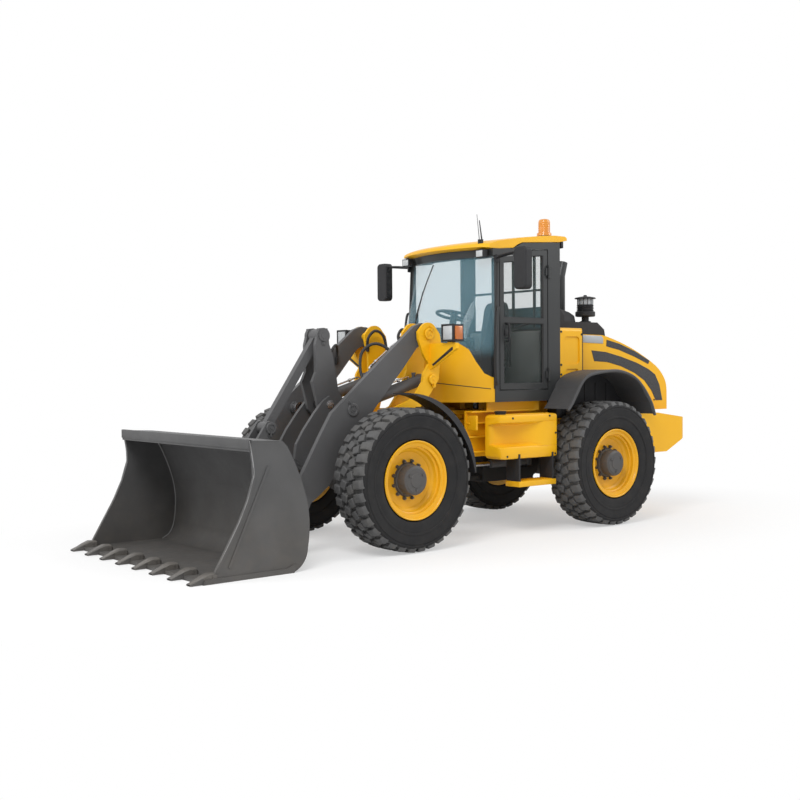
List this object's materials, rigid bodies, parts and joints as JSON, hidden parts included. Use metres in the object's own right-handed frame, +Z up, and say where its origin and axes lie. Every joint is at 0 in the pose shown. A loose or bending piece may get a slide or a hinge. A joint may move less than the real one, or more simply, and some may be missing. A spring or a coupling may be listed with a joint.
{
  "type": "wheel loader",
  "caption": "Articulated wheel loader with a toothed bucket on a parallel-lift boom, glazed cab, engine hood and four large block-tread wheels.",
  "frame": {"origin": "centre of the footprint's bounding box, on the ground under the wheels", "axes": "+X forward to the bucket, +Y to the operator's left, +Z up"},
  "size_m": [6.735, 2.4, 3.4],
  "materials": {
    "rear_frame": "satin paint",
    "front_frame": "satin paint",
    "cab_cowl": "satin paint",
    "door": "dark grey paint",
    "counterweight": "painted casting",
    "engine": "painted casting",
    "rear_axle": "painted casting",
    "front_axle": "painted casting",
    "hood": "satin moulded panel",
    "cab_roof": "satin moulded panel",
    "rear_cowl": "satin moulded panel",
    "cab_frame": "dark grey paint",
    "boom": "dark grey paint",
    "coupler": "dark grey paint",
    "bucket": "dark grey paint",
    "bellcrank": "dark grey paint",
    "tilt_link": "dark grey paint",
    "windscreen": "clear tinted glass",
    "cab_panes": "clear tinted glass",
    "door_glass": "clear tinted glass",
    "air_box": "black moulding",
    "hood_cover": "black moulding",
    "precleaner": "black moulding",
    "mirror_left": "black moulding",
    "mirror_right": "black moulding",
    "roof_lamp_left": "black moulding",
    "roof_lamp_right": "black moulding",
    "head_lamp_left": "black moulding",
    "head_lamp_right": "black moulding",
    "front_fender_left": "black moulding",
    "front_fender_right": "black moulding",
    "rear_fender_left": "black moulding",
    "rear_fender_right": "black moulding",
    "beacon": "amber lens",
    "seat": "dark upholstery",
    "steering_column": "black moulding",
    "exhaust": "black pipe",
    "tank_left": "satin paint",
    "tank_right": "satin paint",
    "bucket_pins": "bright steel",
    "bellcrank_pins": "bright steel",
    "link_pin": "bright steel",
    "tilt_pin": "bright steel",
    "tilt_rod": "bright steel",
    "lift_rods": "bright steel",
    "steer_rod_left": "bright steel",
    "steer_rod_right": "bright steel",
    "tilt_barrel": "dark grey paint",
    "lift_barrels": "dark grey paint",
    "steer_barrel_left": "dark grey paint",
    "steer_barrel_right": "dark grey paint",
    "tyre_front_left": "black rubber",
    "rim_front_left": "satin paint",
    "tyre_front_right": "black rubber",
    "rim_front_right": "satin paint",
    "tyre_rear_left": "black rubber",
    "rim_rear_left": "satin paint",
    "tyre_rear_right": "black rubber",
    "rim_rear_right": "satin paint"
  },
  "bodies": {
    "rear_frame": {"rear_frame": "rear_frame", "rear_axle": "rear_axle", "counterweight": "counterweight", "engine": "engine", "cab_frame": "cab_frame", "cab_cowl": "cab_cowl", "windscreen": "windscreen", "cab_panes": "cab_panes", "cab_roof": "cab_roof", "beacon": "beacon", "seat": "seat", "steering_column": "steering_column", "rear_cowl": "rear_cowl", "air_box": "air_box", "tank_left": "tank_left", "tank_right": "tank_right", "rear_fender_left": "rear_fender_left", "rear_fender_right": "rear_fender_right", "mirror_left": "mirror_left", "mirror_right": "mirror_right", "roof_lamp_left": "roof_lamp_left", "roof_lamp_right": "roof_lamp_right"},
    "front_frame": {"front_frame": "front_frame", "front_axle": "front_axle", "front_fender_left": "front_fender_left", "front_fender_right": "front_fender_right", "head_lamp_left": "head_lamp_left", "head_lamp_right": "head_lamp_right"},
    "door": {"door": "door", "door_glass": "door_glass"},
    "hood": {"hood": "hood", "hood_cover": "hood_cover", "precleaner": "precleaner", "exhaust": "exhaust"},
    "boom": {"boom": "boom"},
    "bucket_pins": {"bucket_pins": "bucket_pins"},
    "bucket": {"coupler": "coupler", "bucket": "bucket"},
    "bellcrank_pins": {"bellcrank_pins": "bellcrank_pins"},
    "bellcrank": {"bellcrank": "bellcrank"},
    "link_pin": {"link_pin": "link_pin"},
    "tilt_link": {"tilt_link": "tilt_link"},
    "tilt_pin": {"tilt_pin": "tilt_pin"},
    "tilt_barrel": {"tilt_barrel": "tilt_barrel"},
    "tilt_rod": {"tilt_rod": "tilt_rod"},
    "lift_barrels": {"lift_barrels": "lift_barrels"},
    "lift_rods": {"lift_rods": "lift_rods"},
    "steer_barrel_left": {"steer_barrel_left": "steer_barrel_left"},
    "steer_barrel_right": {"steer_barrel_right": "steer_barrel_right"},
    "steer_rod_left": {"steer_rod_left": "steer_rod_left"},
    "steer_rod_right": {"steer_rod_right": "steer_rod_right"},
    "wheel_front_left": {"tyre_front_left": "tyre_front_left", "rim_front_left": "rim_front_left"},
    "wheel_front_right": {"tyre_front_right": "tyre_front_right", "rim_front_right": "rim_front_right"},
    "wheel_rear_left": {"tyre_rear_left": "tyre_rear_left", "rim_rear_left": "rim_rear_left"},
    "wheel_rear_right": {"tyre_rear_right": "tyre_rear_right", "rim_rear_right": "rim_rear_right"}
  },
  "joints": [
    {"name": "articulation", "type": "hinge", "parent": "rear_frame", "child": "front_frame", "pos_m": [-0.4295, 0, 0.89], "axis": [0, 0, 1], "range_deg": [-40, 40]},
    {"name": "wheel_front_left_spin", "type": "hinge", "parent": "front_frame", "child": "wheel_front_left", "pos_m": [0.978, 0.9075, 0.675], "axis": [0, 1, 0], "continuous": true},
    {"name": "wheel_front_right_spin", "type": "hinge", "parent": "front_frame", "child": "wheel_front_right", "pos_m": [0.978, -0.9075, 0.675], "axis": [0, 1, 0], "continuous": true},
    {"name": "wheel_rear_left_spin", "type": "hinge", "parent": "rear_frame", "child": "wheel_rear_left", "pos_m": [-1.837, 0.9075, 0.675], "axis": [0, 1, 0], "continuous": true},
    {"name": "wheel_rear_right_spin", "type": "hinge", "parent": "rear_frame", "child": "wheel_rear_right", "pos_m": [-1.837, -0.9075, 0.675], "axis": [0, 1, 0], "continuous": true},
    {"name": "boom_lift", "type": "hinge", "parent": "front_frame", "child": "boom", "pos_m": [0.3705, 0, 2.056], "axis": [0, -1, 0], "range_deg": [-3, 87]},
    {"name": "bucket_pin_turn", "type": "hinge", "parent": "boom", "child": "bucket_pins", "pos_m": [1.8925, 0, 0.489], "axis": [0, -1, 0], "range_deg": [-87.5, 3.5]},
    {"name": "bucket_tilt", "type": "hinge", "parent": "bucket_pins", "child": "bucket", "pos_m": [1.8925, 0, 0.489], "axis": [0, 1, 0], "range_deg": [-45, 48]},
    {"name": "bellcrank_pin_turn", "type": "hinge", "parent": "boom", "child": "bellcrank_pins", "pos_m": [1.2865, 0, 1.37], "axis": [0, -1, 0], "range_deg": [-87.5, 3.5]},
    {"name": "bellcrank_turn", "type": "hinge", "parent": "bellcrank_pins", "child": "bellcrank", "pos_m": [1.2865, 0, 1.37], "axis": [0, 1, 0], "range_deg": [-45.5, 48.5]},
    {"name": "link_pin_turn", "type": "hinge", "parent": "bellcrank", "child": "link_pin", "pos_m": [1.3185, 0, 2.04], "axis": [0, -1, 0], "range_deg": [-3.5, 87.5]},
    {"name": "tilt_link_turn", "type": "hinge", "parent": "link_pin", "child": "tilt_link", "pos_m": [1.3185, 0, 2.04], "axis": [0, 1, 0], "range_deg": [-48.5, 45.5]},
    {"name": "tilt_pin_turn", "type": "hinge", "parent": "front_frame", "child": "tilt_pin", "pos_m": [0.1705, 0, 2.016], "axis": [0, -1, 0], "range_deg": [-3.5, 87.5]},
    {"name": "tilt_barrel_swing", "type": "hinge", "parent": "tilt_pin", "child": "tilt_barrel", "pos_m": [0.1705, 0, 2.016], "axis": [0, 1, 0], "range_deg": [-6.14, 5.79]},
    {"name": "tilt_rod_slide", "type": "slide", "parent": "tilt_barrel", "child": "tilt_rod", "axis": [0.8004, 0, -0.5994], "range_m": [-0.11298, 0.10604]},
    {"name": "lift_barrels_swing", "type": "hinge", "parent": "front_frame", "child": "lift_barrels", "pos_m": [0.3265, 0, 1.603], "axis": [0, -1, 0], "range_deg": [-3.07, 74.91]},
    {"name": "lift_rods_slide", "type": "slide", "parent": "lift_barrels", "child": "lift_rods", "axis": [0.9598, 0, -0.2806], "range_m": [-0.02146, 0.56636]},
    {"name": "steer_barrel_left_swing", "type": "hinge", "parent": "rear_frame", "child": "steer_barrel_left", "pos_m": [-1.3095, 0.27, 0.682], "axis": [0, 0, 1], "range_deg": [-1.54, 1.54]},
    {"name": "steer_rod_left_slide", "type": "slide", "parent": "steer_barrel_left", "child": "steer_rod_left", "axis": [0.9998, -0.0217, 0], "range_m": [-0.16918, 0.16918]},
    {"name": "steer_barrel_right_swing", "type": "hinge", "parent": "rear_frame", "child": "steer_barrel_right", "pos_m": [-1.3095, -0.27, 0.682], "axis": [0, 0, 1], "range_deg": [-1.54, 1.54]},
    {"name": "steer_rod_right_slide", "type": "slide", "parent": "steer_barrel_right", "child": "steer_rod_right", "axis": [0.9998, 0.0217, 0], "range_m": [-0.16918, 0.16918]},
    {"name": "door_swing", "type": "hinge", "parent": "rear_frame", "child": "door", "pos_m": [-1.2015, 0.714, 2.19], "axis": [0, 0, 1], "range_deg": [0, 90]},
    {"name": "hood_lift", "type": "hinge", "parent": "rear_frame", "child": "hood", "pos_m": [-3.2695, 0, 1.18], "axis": [0, -1, 0], "range_deg": [0, 60]}
  ],
  "couplings": [
    {"joint": "bucket_pin_turn", "follows": "boom_lift", "ratio": -1},
    {"joint": "bellcrank_pin_turn", "follows": "boom_lift", "ratio": -1},
    {"joint": "bellcrank_turn", "follows": "bucket_tilt", "ratio": 1},
    {"joint": "link_pin_turn", "follows": "boom_lift", "ratio": 1},
    {"joint": "tilt_link_turn", "follows": "bucket_tilt", "ratio": -1},
    {"joint": "tilt_pin_turn", "follows": "boom_lift", "ratio": 1},
    {"joint": "tilt_barrel_swing", "follows": "bucket_tilt", "ratio": -0.11749},
    {"joint": "tilt_rod_slide", "follows": "bucket_tilt", "m_per_rad": -0.13247},
    {"joint": "lift_barrels_swing", "follows": "boom_lift", "ratio": 0.85528},
    {"joint": "lift_rods_slide", "follows": "boom_lift", "m_per_rad": 0.37167},
    {"joint": "steer_barrel_left_swing", "follows": "articulation", "ratio": 0.025944},
    {"joint": "steer_rod_left_slide", "follows": "articulation", "m_per_rad": -0.23946},
    {"joint": "steer_barrel_right_swing", "follows": "articulation", "ratio": 0.025944},
    {"joint": "steer_rod_right_slide", "follows": "articulation", "m_per_rad": 0.23946}
  ]
}
